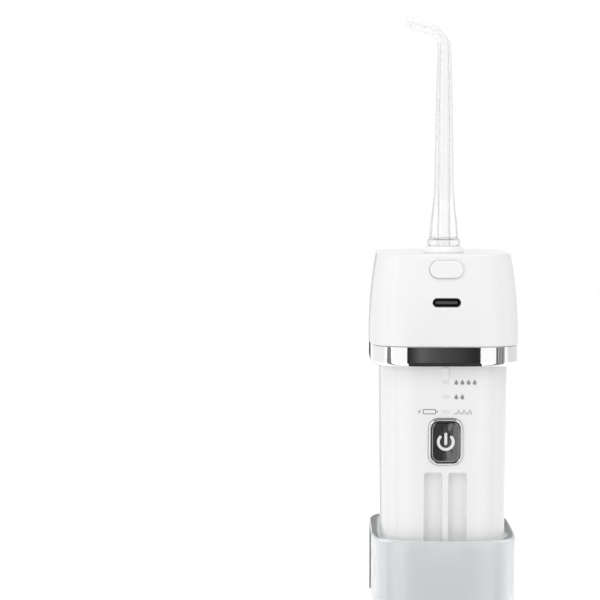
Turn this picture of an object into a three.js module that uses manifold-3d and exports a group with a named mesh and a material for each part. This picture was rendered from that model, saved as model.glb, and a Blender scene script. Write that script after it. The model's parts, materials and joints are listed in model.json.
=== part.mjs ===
// A collapsible cordless water flosser. The handle, with its pump, battery and controls, slides down into
// the water tank, which is a deep cup. Millimetres, +Z up. The origin is the centre of the base that it
// stands on, the front face with the controls looks along -Y, and the handle is drawn out to its upper stop.
import * as THREE from "three";
import { mergeVertices } from "three/addons/utils/BufferGeometryUtils.js";
import Module from "manifold-3d";

const wasm = await Module();
wasm.setup();

// ---- driving dimensions ----
const GAP = 0.3; // between fixed pieces that meet face to face
const ROUNDNESS = 5; // exponent of the superellipse that every casing follows

const PAD_THICKNESS = 0.8;
const TANK_BOTTOM = 1.0;
const TANK_HEIGHT = 106; // from the surface it stands on to the rim
const TANK_HALF = [23.5, 27.5]; // half the width along X, half the depth along Y
const TANK_WALL = 1.8;
const TANK_FLOOR = 2.2;
const TANK_LIP = 3; // height of the guiding lip inside the rim
const TRAVEL = 55; // how far the handle slides into the tank

const HANDLE_Z = TANK_HEIGHT + 0.5 + TRAVEL; // underside of the chrome band
const HANDLE_HALF = [20.55, 24.6];
const HANDLE_DRAFT = THREE.MathUtils.degToRad(0.6);
const HANDLE_WALL = 2.0;
const SHELL_BOTTOM = -94; // these heights are from the underside of the band
const NECK_TOP = 5;
const END_CAP_BOTTOM = -99;

const BAND_HEIGHT = 6.5;
const BAND_HALF = [23.8, 27.8];
const HEAD_HALF = [24, 28];
const HEAD_HEIGHT = 29.3;
const HEAD_TAPER = 2.6;
const HEAD_FILLET = 0.8;
const HEAD_WALL = 1.8;
const HEAD_TOP = BAND_HEIGHT + HEAD_HEIGHT;

const GROOVE = { top: -34.1, bottom: -92.8, inner: 1.05, outer: 6.7, depth: 1.2 };
const INDICATOR_Z = [-5, -9.65, -14.4];
const INDICATOR = [2.4, 1.0];
const BUTTON_Z = -24;
const BUTTON_TRAVEL = 0.8;
const PORT_Z = 20.5;
const PORT = [9.0, 2.9];
const RELEASE_Z = 31;
const RELEASE = [10.7, 5.7];

const NOZZLE_Y = -9; // the nozzle stands in front of the middle of the head
const SEAT_TOP = HEAD_TOP + 2.1; // top of the rotation dial
const STEM_BOTTOM = 17;

const MODULE = 0.6; // the pump's gear pair
const PINION_TEETH = 12;
const GEAR_TEETH = 40;
const PRESSURE = THREE.MathUtils.degToRad(25);
const BACKLASH = 0.14;
const MOTOR_Z = -26;
const CRANK_Z = MOTOR_Z + (MODULE * (PINION_TEETH + GEAR_TEETH)) / 2;
const CRANK_THROW = 2.5;
const ROD_LENGTH = 18;
const BALL_R = 1.8; // the connecting rod's upper end
const PUMP_Y = 8;
const PISTON_R = 5.6;
const CYLINDER = [5.95, 7.4]; // inner and outer radius
const VALVES = { x: 3.4, radius: 2.3, pocket: 2.6, channel: 0.9 }; // a check valve at -x and one at x

const SUCTION = [-13, 13]; // where the suction tube stands
const SUCTION_TOP = 70;
const BATTERY = [9.3, 12.6];
const BATTERY_Z = [-90, -40];
const DOOR_Z = 44;
const PIN_HOLE = 0.75; // radius of the fill door's pin hole
const SCREWS = [[-12.6, -9], [12.6, -9], [-5, 17.4]]; // in the end cap
const HEAD_SCREWS = [[-14.5, -16], [14.5, 16]];
const DECK = [2.3, 4.3]; // floor of the pump's chamber, in the handle's neck
const SHELF = [-35.9, -34.2]; // under the motor

// ---- materials ----
const material = (color, roughness, metalness, opacity = 1) =>
  new THREE.MeshStandardMaterial({ color, roughness, metalness, opacity, transparent: opacity < 1 });
const whitePlastic = material(0xf2f2f0, 0.35, 0);
const innerPlastic = material(0xd8d9d6, 0.5, 0);
const tankPlastic = material(0xe9eef0, 0.25, 0, 0.45);
const clearPlastic = material(0xf3f6f7, 0.1, 0, 0.35);
const chrome = material(0xe2e4e6, 0.08, 1);
const steel = material(0xb4b7ba, 0.3, 1);
const greySilicone = material(0xc4c7c9, 0.7, 0);
const blackPlastic = material(0x1b1c1d, 0.4, 0);
const boardGreen = material(0x1d5a36, 0.5, 0);
const cellWrap = material(0x2b6fb0, 0.4, 0);

// ---- solids ----
// A closed three.js geometry as a manifold solid, which can be cut and joined.
function solid(geometry) {
  const bare = geometry.index ? geometry.toNonIndexed() : geometry.clone();
  bare.deleteAttribute("normal");
  bare.deleteAttribute("uv");
  const merged = mergeVertices(bare, 1e-4);
  return new wasm.Manifold(
    new wasm.Mesh({
      numProp: 3,
      vertProperties: merged.attributes.position.array,
      triVerts: new Uint32Array(merged.index.array),
    }),
  );
}

function geometryOf(body) {
  const mesh = body.getMesh();
  const geometry = new THREE.BufferGeometry();
  geometry.setAttribute("position", new THREE.BufferAttribute(mesh.vertProperties, 3));
  geometry.setIndex(new THREE.BufferAttribute(mesh.triVerts, 1));
  return geometry;
}

const cut = (body, ...tools) => tools.reduce((left, tool) => left.subtract(tool), body);
const join = (first, ...others) => others.reduce((whole, other) => whole.add(other), first);

const box = (x0, x1, y0, y1, z0, z1) => {
  const geometry = new THREE.BoxGeometry(x1 - x0, y1 - y0, z1 - z0);
  return solid(geometry).translate((x0 + x1) / 2, (y0 + y1) / 2, (z0 + z1) / 2);
};

// A box that spans from near to far along X, on the side +1 or -1 of the middle.
const sideBox = (side, near, far, ...rest) => {
  const ends = [side * near, side * far].sort((a, b) => a - b);
  return box(...ends, ...rest);
};

// A cylinder standing along Z from z0 to z1, or a cone frustum if topRadius is given.
const postZ = (radius, z0, z1, x = 0, y = 0, sides = 24, topRadius = radius) => {
  const geometry = new THREE.CylinderGeometry(topRadius, radius, z1 - z0, sides).rotateX(Math.PI / 2);
  return solid(geometry).translate(x, y, (z0 + z1) / 2);
};

const postY = (radius, y0, y1, x = 0, z = 0, sides = 24) =>
  solid(new THREE.CylinderGeometry(radius, radius, y1 - y0, sides)).translate(x, (y0 + y1) / 2, z);

const postX = (radius, x0, x1, y = 0, z = 0, sides = 16) => {
  const geometry = new THREE.CylinderGeometry(radius, radius, x1 - x0, sides).rotateZ(Math.PI / 2);
  return solid(geometry).translate((x0 + x1) / 2, y, z);
};

// One ring of points of a casing: a superellipse, inset from its half sizes.
function ring([halfWidth, halfDepth], z, inset = 0, points = 32) {
  const bent = (value, half) => Math.sign(value) * Math.abs(value) ** (2 / ROUNDNESS) * (half - inset);
  return Array.from({ length: points }, (_, i) => {
    const turn = (2 * Math.PI * i) / points;
    return new THREE.Vector3(bent(Math.cos(turn), halfWidth), bent(Math.sin(turn), halfDepth), z);
  });
}

// Skins rings of equal count, listed from the bottom up, and closes both ends.
function loft(rings) {
  const count = rings[0].length;
  const faces = [];
  for (let level = 0; level < rings.length - 1; level++)
    for (let i = 0; i < count; i++) {
      const a = level * count + i;
      const b = level * count + ((i + 1) % count);
      faces.push(a, b, b + count, a, b + count, a + count);
    }
  const cap = THREE.ShapeUtils.triangulateShape(rings[0].map((p) => new THREE.Vector2(p.x, p.y)), []);
  const top = (rings.length - 1) * count;
  for (const [a, b, c] of cap) faces.push(c, b, a, top + a, top + b, top + c);
  const geometry = new THREE.BufferGeometry().setFromPoints(rings.flat());
  geometry.setIndex(faces);
  return solid(geometry);
}

const prism = (half, z0, z1, inset = 0) => loft([ring(half, z0, inset), ring(half, z1, inset)]);

// A rounded rectangle or pill, in the plane of the shape.
function roundedShape(width, height, radius) {
  const x = width / 2;
  const y = height / 2;
  const shape = new THREE.Shape();
  shape.absarc(x - radius, y - radius, radius, 0, Math.PI / 2);
  shape.absarc(radius - x, y - radius, radius, Math.PI / 2, Math.PI);
  shape.absarc(radius - x, radius - y, radius, Math.PI, 1.5 * Math.PI);
  shape.absarc(x - radius, radius - y, radius, 1.5 * Math.PI, 2 * Math.PI);
  return shape;
}

// A rounded rectangle extruded along Y, with its middle at height z.
const slab = (width, height, radius, y0, y1, z = 0) => {
  const settings = { depth: y1 - y0, bevelEnabled: false, curveSegments: 4 };
  const geometry = new THREE.ExtrudeGeometry(roundedShape(width, height, radius), settings);
  return solid(geometry).rotate([90, 0, 0]).translate(0, y1, z);
};

// A body of revolution about Z, from [radius, height] points that start and end on the axis or close on
// themselves.
const turned = (profile, sides = 24) => {
  const points = profile.map(([r, z]) => new THREE.Vector2(r, z));
  return solid(new THREE.LatheGeometry(points, sides).rotateX(Math.PI / 2));
};

const washer = (inner, outer, z0, z1, sides = 24) =>
  turned([[inner, z0], [outer, z0], [outer, z1], [inner, z1], [inner, z0]], sides);

// A round tube along a path of points, solid if inner is 0.
function tube(points, outer, inner, sides, steps) {
  const section = new THREE.Shape().absarc(0, 0, outer, 0, 2 * Math.PI);
  if (inner) section.holes.push(new THREE.Path().absarc(0, 0, inner, 0, 2 * Math.PI, true));
  const extrudePath = new THREE.CatmullRomCurve3(points.map((p) => new THREE.Vector3(...p)));
  const settings = { steps, curveSegments: sides, extrudePath, bevelEnabled: false };
  return solid(new THREE.ExtrudeGeometry(section, settings));
}

// ---- the tree of groups, one for each piece or set that moves ----
const flosser = new THREE.Group();
const group = (parent, x = 0, y = 0, z = 0) => {
  const made = new THREE.Group();
  made.position.set(x, y, z);
  parent.add(made);
  return made;
};
const tank = group(flosser);
const fillDoor = group(tank);
const handle = group(flosser, 0, 0, HANDLE_Z);
const powerButton = group(handle);
const releaseButton = group(handle);
const inletDisc = group(handle, -VALVES.x, PUMP_Y, 0);
const outletDisc = group(handle, VALVES.x, PUMP_Y, 0);
const dial = group(handle, 0, NOZZLE_Y, 0);
const nozzle = group(dial);
const rotor = group(handle, 0, 0, MOTOR_Z);
const crank = group(handle, 0, 0, CRANK_Z);
const rod = group(crank, 0, PUMP_Y, CRANK_THROW);
const piston = group(handle, 0, PUMP_Y, 0);

function add(parent, name, body, finish) {
  const mesh = new THREE.Mesh(geometryOf(body), finish);
  mesh.name = name;
  parent.add(mesh);
}

// ---- tank ----
const STOP_TOP = TANK_HEIGHT + 0.5 + GROOVE.top - 0.4; // the stops meet the grooves' top ends when collapsed
const STOP_REACH = 23.3; // how near the middle the stops come, inside the grooves
const DOOR_HINGE = [TANK_HALF[1] + 1.6, DOOR_Z - 10.6];
const KNUCKLE = 1.3; // outer radius of the door's hinge

const pinHole = () => postX(PIN_HOLE, -9, 9, ...DOOR_HINGE);

function tankShell() {
  const outer = loft([
    ring(TANK_HALF, TANK_BOTTOM, 2.0),
    ring(TANK_HALF, TANK_BOTTOM + 0.6, 0.6),
    ring(TANK_HALF, TANK_BOTTOM + 2.0),
    ring(TANK_HALF, TANK_HEIGHT - 0.4),
    ring(TANK_HALF, TANK_HEIGHT, 0.4),
  ]);
  const lipTop = TANK_HEIGHT + 1;
  const cavity = prism(TANK_HALF, TANK_BOTTOM + TANK_FLOOR, TANK_HEIGHT - TANK_LIP, TANK_WALL);
  const mouth = prism(HANDLE_HALF, TANK_HEIGHT - TANK_LIP - 1, lipTop, -0.4);
  const passage = box(-6.4, 6.4, -TANK_HALF[1] + TANK_WALL, -20, TANK_HEIGHT - TANK_LIP - 1, lipTop);
  const hole = slab(16, 12.4, 5, TANK_HALF[1] - 4, TANK_HALF[1] + 1, DOOR_Z + 0.1);
  const stop = (side) => {
    const ends = [GROOVE.inner + 0.4, GROOVE.outer - 0.4];
    return sideBox(side, ...ends, -TANK_HALF[1] + 1, -STOP_REACH, STOP_TOP - 3, STOP_TOP);
  };
  const knuckle = (side) => {
    const [y, z] = DOOR_HINGE;
    const ends = [side * 5.4, side * 8.2].sort((a, b) => a - b);
    return join(postX(KNUCKLE, ...ends, y, z), box(...ends, TANK_HALF[1] - 0.8, y, z - KNUCKLE, z + KNUCKLE));
  };
  const cup = cut(outer, cavity, mouth, passage, hole);
  return cut(join(cup, stop(-1), stop(1), knuckle(-1), knuckle(1)), pinHole());
}

function suctionFilter() {
  const body = washer(3.1, 5, 0, 3.4, 20);
  const slots = [0, 60, 120].map((turn) => box(-6, 6, -0.5, 0.5, -1, 1.6).rotate([0, 0, turn]));
  return cut(body, ...slots);
}

add(tank, "tank_shell", tankShell(), tankPlastic);
add(tank, "base_pad", prism([20, 24], 0, PAD_THICKNESS), greySilicone);
const tankFloor = TANK_BOTTOM + TANK_FLOOR;
add(tank, "suction_filter", suctionFilter().translate(...SUCTION, tankFloor + GAP), greySilicone);
const suctionTube = washer(1.9, 2.9, tankFloor + 1.3, SUCTION_TOP, 16).translate(...SUCTION, 0);
add(tank, "suction_tube", suctionTube, clearPlastic);
add(tank, "fill_door_pin", postX(0.6, -8.4, 8.4, ...DOOR_HINGE, 12), steel);

// ---- fill door, on the back of the tank ----
function fillDoorLid() {
  const face = TANK_HALF[1] + GAP;
  const plate = slab(20, 17, 5.5, face, face + 1.4, DOOR_Z);
  const tab = slab(8, 4, 1.5, face, face + 1.0, DOOR_Z + 9);
  const arm = box(-4.6, 4.6, face, face + 1.2, DOOR_HINGE[1], DOOR_Z - 7);
  const barrel = postX(KNUCKLE, -5, 5, ...DOOR_HINGE);
  return cut(join(plate, tab, arm, barrel), pinHole());
}
add(fillDoor, "fill_door_lid", fillDoorLid(), whitePlastic);
const plugFace = TANK_HALF[1] - TANK_WALL + 0.1;
const plug = slab(15.2, 11.2, 4.6, plugFace, TANK_HALF[1] + 0.1, DOOR_Z);
add(fillDoor, "fill_door_plug", plug, greySilicone);

// ---- handle casing ----
const draftAt = (z) => (z < 0 ? -z * Math.tan(HANDLE_DRAFT) : 0);

function handleShell() {
  const outside = (z, inset = 0) => ring(HANDLE_HALF, z, draftAt(z) + inset);
  const outer = loft([outside(SHELL_BOTTOM), outside(-GAP), outside(-GAP, 0.7), outside(NECK_TOP, 0.7)]);
  const inner = loft([SHELL_BOTTOM - 1, 0, NECK_TOP + 1].map((z) => outside(z, HANDLE_WALL)));
  const front = -HANDLE_HALF[1];
  const groove = (side) => {
    const ends = [side * GROOVE.inner, side * GROOVE.outer].sort((a, b) => a - b);
    const depthAt = (z) => front + draftAt(z) + GROOVE.depth;
    const floor = new THREE.Shape([
      new THREE.Vector2(front - 1, GROOVE.bottom),
      new THREE.Vector2(depthAt(GROOVE.bottom), GROOVE.bottom),
      new THREE.Vector2(depthAt(GROOVE.top), GROOVE.top),
      new THREE.Vector2(front - 1, GROOVE.top),
    ]);
    return solid(new THREE.ExtrudeGeometry(floor, { depth: ends[1] - ends[0], bevelEnabled: false }))
      .rotate([90, 0, 90])
      .translate(ends[0], 0, 0);
  };
  const rib = box(-1.05, 1.05, front - 0.5, front + 1, -4.4, -GAP);
  const windows = INDICATOR_Z.map((z) => slab(...INDICATOR, 0.45, front - 1, front + 4, z));
  const aperture = slab(10.4, 14.4, 3, front - 1, front + 4, BUTTON_Z);
  return cut(join(outer, rib), inner, groove(-1), groove(1), ...windows, aperture);
}

function endCap() {
  const flange = prism(HANDLE_HALF, END_CAP_BOTTOM, END_CAP_BOTTOM + 2, draftAt(END_CAP_BOTTOM));
  const plugInset = draftAt(SHELL_BOTTOM) + HANDLE_WALL + GAP;
  const top = END_CAP_BOTTOM + 8.5;
  const skirt = prism(HANDLE_HALF, END_CAP_BOTTOM + 1, top, plugInset);
  const hollow = prism(HANDLE_HALF, END_CAP_BOTTOM + 3, top + 1, plugInset + 1.8);
  const suction = postZ(4.4, END_CAP_BOTTOM - 1, top + 1, ...SUCTION);
  const screws = SCREWS.flatMap(([x, y]) => [
    postZ(1.2, END_CAP_BOTTOM - 1, top + 1, x, y, 10),
    postZ(2.3, END_CAP_BOTTOM - 1, END_CAP_BOTTOM + 1.8, x, y, 12),
  ]);
  return cut(join(flange, skirt), hollow, suction, ...screws);
}

function tankSeal() {
  const z = SHELL_BOTTOM - GAP;
  const tankInside = TANK_HALF.map((half) => half - TANK_WALL);
  const outer = loft([
    ring(tankInside, z - 2.4, 0.3),
    ring(tankInside, z - 1.8, 0.15),
    ring(tankInside, z - 0.5, 0.9),
    ring(tankInside, z, 1.2),
  ]);
  return cut(outer, prism(HANDLE_HALF, z - 3, z + 1, draftAt(SHELL_BOTTOM) + HANDLE_WALL + 0.1));
}

// A screw with its head down and a hexagonal socket, whose shank starts at the origin.
const screw = (length) =>
  cut(join(postZ(1, 0, length, 0, 0, 10), postZ(2, -1.2, 0.01, 0, 0, 12)), postZ(0.9, -2, -0.5, 0, 0, 6));

add(handle, "handle_shell", handleShell(), whitePlastic);
add(handle, "handle_end_cap", endCap(), whitePlastic);
add(handle, "tank_seal", tankSeal(), greySilicone);
SCREWS.forEach(([x, y], i) =>
  add(handle, `end_cap_screw_${i + 1}`, screw(8).translate(x, y, END_CAP_BOTTOM + 1.5), steel),
);

// ---- chrome band and head ----
function chromeBand() {
  const outer = loft([
    ring(BAND_HALF, 0, 1.5),
    ring(BAND_HALF, 0.45, 0.45),
    ring(BAND_HALF, 1.6),
    ring(BAND_HALF, BAND_HEIGHT - 0.3),
    ring(BAND_HALF, BAND_HEIGHT, 0.3),
  ]);
  const pocket = prism(BAND_HALF, 1.3, BAND_HEIGHT + 1, 1.3);
  return cut(outer, pocket, prism(HANDLE_HALF, -1, 3, -GAP));
}

// How far the head's side stands in from its base, at a height above the band.
function headInset(height) {
  const taper = HEAD_TAPER * (height / HEAD_HEIGHT) ** 2.2;
  const past = Math.min(HEAD_FILLET, Math.max(0, height - (HEAD_HEIGHT - HEAD_FILLET)));
  return taper + HEAD_FILLET - Math.sqrt(HEAD_FILLET ** 2 - past ** 2);
}

const FILLET_LEVELS = [1, 0.4, 0].map((share) => HEAD_HEIGHT - share * HEAD_FILLET);
const HEAD_LEVELS = [GAP, 10, 17, 23, ...FILLET_LEVELS];
const headOutside = (grow = 0) =>
  loft(HEAD_LEVELS.map((height) => ring(HEAD_HALF, BAND_HEIGHT + height, headInset(height) - grow)));

function headShell() {
  const inner = loft(
    [-1, 12, 22, HEAD_HEIGHT - HEAD_WALL].map((height) =>
      ring(HEAD_HALF, BAND_HEIGHT + height, headInset(Math.max(0, height)) + HEAD_WALL),
    ),
  );
  const bosses = HEAD_SCREWS.map(([x, y]) => postZ(2.6, 4.6, HEAD_TOP - 1, x, y, 12));
  const pilots = HEAD_SCREWS.map(([x, y]) => postZ(1.15, 4, 16, x, y, 10));
  const port = slab(...PORT, PORT[1] / 2 - 0.01, -30, -20, PORT_Z);
  const release = slab(RELEASE[0] + 0.5, RELEASE[1] + 0.5, RELEASE[1] / 2 + 0.2, -30, -15, RELEASE_Z);
  const mouth = postZ(5.9, HEAD_TOP - 5, HEAD_TOP + 1, 0, NOZZLE_Y, 32);
  return cut(join(cut(headOutside(), inner), ...bosses), ...pilots, port, release, mouth);
}

add(handle, "chrome_band", chromeBand(), chrome);
const neckHole = prism(HANDLE_HALF, 0, 10, HANDLE_WALL);
add(handle, "head_gasket", cut(prism(BAND_HALF, NECK_TOP + GAP, BAND_HEIGHT, 1.6), neckHole), greySilicone);
add(handle, "head_shell", headShell(), whitePlastic);
HEAD_SCREWS.forEach(([x, y], i) =>
  add(handle, `head_screw_${i + 1}`, screw(10).translate(x, y, DECK[0] - 0.3), steel),
);

// ---- heights of the pump, from the crank up ----
const ROD_END = CRANK_Z + CRANK_THROW + ROD_LENGTH;
const PISTON_TOP = ROD_END + BALL_R + 2 * CRANK_THROW + 2;
const CYLINDER_TOP = PISTON_TOP + 0.8;
const VALVE_PLATE = [CYLINDER_TOP + GAP, CYLINDER_TOP + GAP + 1];
const BLOCK = [VALVE_PLATE[1] + GAP, VALVE_PLATE[1] + GAP + 5.8];
const CHANNEL_Z = BLOCK[0] + 3; // the water channels inside the valve block

// ---- chassis: a deck in the neck, a shelf under the motor, three posts down to the end cap ----
function chassis() {
  const [deckBottom, deckTop] = DECK;
  const through = [deckBottom - 2, deckTop + 2];
  const deck = cut(
    prism(HANDLE_HALF, ...DECK, HANDLE_WALL + GAP),
    box(-8, 8, -1, 16.2, ...through),
    postZ(3.4, ...through, -15.7, 13),
    box(-14, 14, -19, -14.5, ...through),
  );
  const seatTop = deckTop + 2.1;
  const seat = washer(6.4, 7.6, deckTop - 0.3, seatTop).translate(0, PUMP_Y, 0);
  const seatArms = [-1, 1].map((side) =>
    sideBox(side, 6.8, 12, PUMP_Y - 1, PUMP_Y + 1, deckTop - 0.3, seatTop),
  );
  const shelf = cut(
    prism([16.2, 20.4], ...SHELF),
    box(-20, 20, -25, -13.4, SHELF[0] - 1, SHELF[1] + 1),
    postZ(4.5, SHELF[0] - 1, SHELF[1] + 1, ...SUCTION),
  );
  const postBottom = END_CAP_BOTTOM + 3.3;
  const posts = SCREWS.map(([x, y]) =>
    cut(postZ(2, postBottom, 3, x, y, 12), postZ(1.15, postBottom - 1, postBottom + 9, x, y, 10)),
  );
  const spine = box(-12.6, 12.6, -10, -8.4, -85, SHELF[0] + 0.9);
  const cradles = [-84, -50].map((z) =>
    cut(box(-6, 15.5, -9, 12, z, z + 3), postZ(7.3, z - 1, z + 4, ...BATTERY, 28)),
  );
  const axlePlate = cut(box(-6, 6, 16, 17.8, -18, 3), postY(1.6, 15, 19, 0, CRANK_Z));
  const motorClips = [-1, 1].map((side) => sideBox(side, 10.4, 12.6, -11, -7, SHELF[0], -18));
  const springBase = BLOCK[1] + 0.5;
  const springPost = join(
    box(-2, 2, 5.2, 7.2, springBase, 33),
    box(-2, 2, 5.2, 16.5, springBase, springBase + 1.2),
    box(-1.8, 1.8, 15.9, 17.7, 3, springBase + 1.2),
  );
  const screwHoles = HEAD_SCREWS.map(([x, y]) => postZ(1.2, deckBottom - 2, deckTop + 4, x, y, 12));
  const parts = [deck, seat, ...seatArms, shelf, ...posts, spine, ...cradles, axlePlate, ...motorClips];
  return cut(join(...parts, springPost), ...screwHoles);
}
add(handle, "chassis", chassis(), innerPlastic);

// ---- controls behind the front face ----
const FRONT = -HANDLE_HALF[1] + draftAt(BUTTON_Z); // the handle's front face at the power button
const BOARD_Y = -17.0;

function buttonMembrane() {
  const plate = slab(14, 17, 3, FRONT + 2.3, FRONT + 3.6, BUTTON_Z);
  return cut(plate, slab(11.4, 15.4, 2, FRONT + 1, FRONT + 2.8, BUTTON_Z));
}

function lightGuide() {
  const prongs = INDICATOR_Z.map((z) => box(-0.95, 0.95, -24.4, -21.5, z - 0.35, z + 0.35));
  return join(box(-1.6, 1.6, -22.2, -21.1, INDICATOR_Z[2] - 0.5, INDICATOR_Z[0] + 1), ...prongs);
}

function buttonBezel() {
  const flange = slab(11.2, 15.2, 3.4, FRONT - 0.75, FRONT - 0.35, BUTTON_Z);
  const collar = slab(9.9, 13.9, 2.8, FRONT - 0.5, FRONT + 1.4, BUTTON_Z);
  return cut(join(flange, collar), slab(9.2, 13.2, 2.5, FRONT - 2, FRONT + 2, BUTTON_Z));
}

function tactSwitch() {
  const body = box(-3, 3, BOARD_Y - 2.4, BOARD_Y - 0.2, BUTTON_Z - 3, BUTTON_Z + 3);
  return join(body, postY(1.7, BOARD_Y - 3.3, BOARD_Y - 2, 0, BUTTON_Z, 12));
}

function powerCap() {
  const face = slab(8.8, 12.8, 2.3, FRONT - 0.95, FRONT + 1.0, BUTTON_Z);
  return join(face, postY(1.6, FRONT + 0.9, FRONT + 1.7, 0, BUTTON_Z, 12));
}

add(handle, "power_button_bezel", buttonBezel(), chrome);
add(handle, "button_membrane", buttonMembrane(), greySilicone);
add(handle, "light_guide", lightGuide(), clearPlastic);
add(handle, "tact_switch", tactSwitch(), blackPlastic);
INDICATOR_Z.forEach((z, i) => {
  const led = box(-0.8, 0.8, BOARD_Y - 1, BOARD_Y - 0.2, z - 0.6, z + 0.6);
  add(handle, `mode_led_${i + 1}`, led, clearPlastic);
});
add(handle, "control_board", box(-12.5, 12.5, BOARD_Y, BOARD_Y + 1.6, -60, -2.5), boardGreen);
add(powerButton, "power_button_cap", powerCap(), chrome);

// ---- charge port ----
const PORT_MOUTH = -HEAD_HALF[1] + headInset(PORT_Z - BAND_HEIGHT) + HEAD_WALL + 0.5;
const socketShell = cut(
  slab(8.94, 3.26, 1.62, PORT_MOUTH, PORT_MOUTH + 6, PORT_Z),
  slab(8.34, 2.66, 1.32, PORT_MOUTH - 1, PORT_MOUTH + 5, PORT_Z),
);
const tongue = box(-3.35, 3.35, PORT_MOUTH + 0.6, PORT_MOUTH + 4.8, PORT_Z - 0.35, PORT_Z + 0.35);
const chargeBoard = box(-7.5, 7.5, PORT_MOUTH, PORT_MOUTH + 8.5, PORT_Z - 2.9, PORT_Z - 1.9);
add(handle, "usb_socket", socketShell, blackPlastic);
add(handle, "usb_tongue", tongue, blackPlastic);
add(handle, "charge_board", chargeBoard, boardGreen);

// ---- battery, motor and gear pair ----
function battery() {
  const [bottom, top] = BATTERY_Z;
  return turned([[0, bottom], [7, bottom], [7, top - 1], [2.6, top - 1], [2.6, top], [0, top]], 24);
}
add(handle, "battery", battery().translate(...BATTERY, 0), cellWrap);

function motor() {
  const flats = box(-10.5, 10.5, -15, 9, MOTOR_Z - 7.6, MOTOR_Z + 7.6);
  const can = postY(10, -14, 7.6, 0, MOTOR_Z, 32).intersect(flats);
  const shaftHole = postY(1.2, -10, 9, 0, MOTOR_Z);
  return cut(join(can, postY(2.8, 7, 8.4, 0, MOTOR_Z)), shaftHole);
}
add(handle, "motor", motor(), steel);

const ORIGIN = new THREE.Vector2(0, 0);

// The outline of an involute spur gear, with a tooth centred at the angle turn.
function gearShape(teeth, turn) {
  const pitch = (MODULE * teeth) / 2;
  const base = pitch * Math.cos(PRESSURE);
  const tip = pitch + 0.9 * MODULE;
  const root = pitch - 1.2 * MODULE;
  const involute = (angle) => Math.tan(angle) - angle;
  const atPitch = Math.PI / (2 * teeth) - BACKLASH / (4 * pitch);
  const halfAngle = (r) => atPitch + involute(PRESSURE) - involute(Math.acos(Math.min(1, base / r)));
  const lowest = Math.max(base, root);
  const flank = [0, 0.5, 1].map((share) => lowest + share * (tip - lowest));
  const points = [];
  for (let tooth = 0; tooth < teeth; tooth++) {
    const middle = turn + (2 * Math.PI * tooth) / teeth;
    const at = (r, angle) => points.push(new THREE.Vector2(r, 0).rotateAround(ORIGIN, middle + angle));
    if (root < base) at(root, -halfAngle(base));
    flank.forEach((r) => at(r, -halfAngle(r)));
    flank.toReversed().forEach((r) => at(r, halfAngle(r)));
    if (root < base) at(root, halfAngle(base));
  }
  return new THREE.Shape(points);
}

// A gear whose axis is Y, from y0 to y1, about its own group's origin.
const gear = (teeth, turn, y0, y1) => {
  const geometry = new THREE.ExtrudeGeometry(gearShape(teeth, turn), { depth: y1 - y0, bevelEnabled: false });
  return solid(geometry).rotate([90, 0, 0]).translate(0, y1, 0);
};

const GEAR_Y = [11, 15];
const pinion = join(gear(PINION_TEETH, Math.PI / PINION_TEETH, 11.2, 14.8), postY(1, -8, 11.3, 0, 0, 16));
add(rotor, "motor_pinion", pinion, steel);

function crankGear() {
  const blank = gear(GEAR_TEETH, 0, ...GEAR_Y);
  const holes = [45, 135, 225, 315].map((turn) => postY(1.8, 10, 16, 7, 0, 16).rotate([0, turn, 0]));
  const pin = postY(1.4, PUMP_Y - 1.8, GEAR_Y[0] + 0.5, 0, CRANK_THROW, 16);
  return cut(join(blank, pin), postY(1.65, 12, 16), ...holes);
}
add(crank, "crank_gear", crankGear(), innerPlastic);
add(handle, "crank_axle", postY(1.5, 12.2, 18.2, 0, CRANK_Z), steel);

function connectingRod() {
  const bigEnd = cut(postY(3, -1.5, 1.5), postY(1.5, -2, 2, 0, 0, 24));
  const shank = box(-1.2, 1.2, -1.2, 1.2, 2.6, ROD_LENGTH);
  return join(bigEnd, shank, solid(new THREE.SphereGeometry(BALL_R, 12, 8)).translate(0, 0, ROD_LENGTH));
}
add(rod, "connecting_rod", connectingRod(), innerPlastic);

// ---- pump ----
function pistonBody() {
  const bottom = ROD_END - 2.4;
  const top = PISTON_TOP;
  return turned([
    [0, top - 1.6], [4.6, top - 1.6], [4.6, bottom], [PISTON_R, bottom], [PISTON_R, top - 4], [4.95, top - 4],
    [4.95, top - 2.4], [PISTON_R, top - 2.4], [PISTON_R, top], [0, top],
  ]);
}
add(piston, "piston", pistonBody(), innerPlastic);
add(piston, "piston_o_ring", washer(5.05, 5.8, PISTON_TOP - 3.8, PISTON_TOP - 2.6), blackPlastic);
add(handle, "pump_cylinder", washer(...CYLINDER, 6.7, CYLINDER_TOP).translate(0, PUMP_Y, 0), clearPlastic);

// The plate under the valve discs. The inlet's cross is wider than its disc, which can't close it.
function valvePlate() {
  const [bottom, top] = VALVE_PLATE;
  const through = [bottom - 1, top + 1];
  const reach = VALVES.pocket - 0.1;
  return cut(
    postZ(CYLINDER[1], bottom, top, 0, 0, 32),
    box(-VALVES.x - reach, -VALVES.x + reach, -0.45, 0.45, ...through),
    box(-VALVES.x - 0.45, -VALVES.x + 0.45, -reach, reach, ...through),
    postZ(1, ...through, VALVES.x, 0, 12),
  );
}

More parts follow.
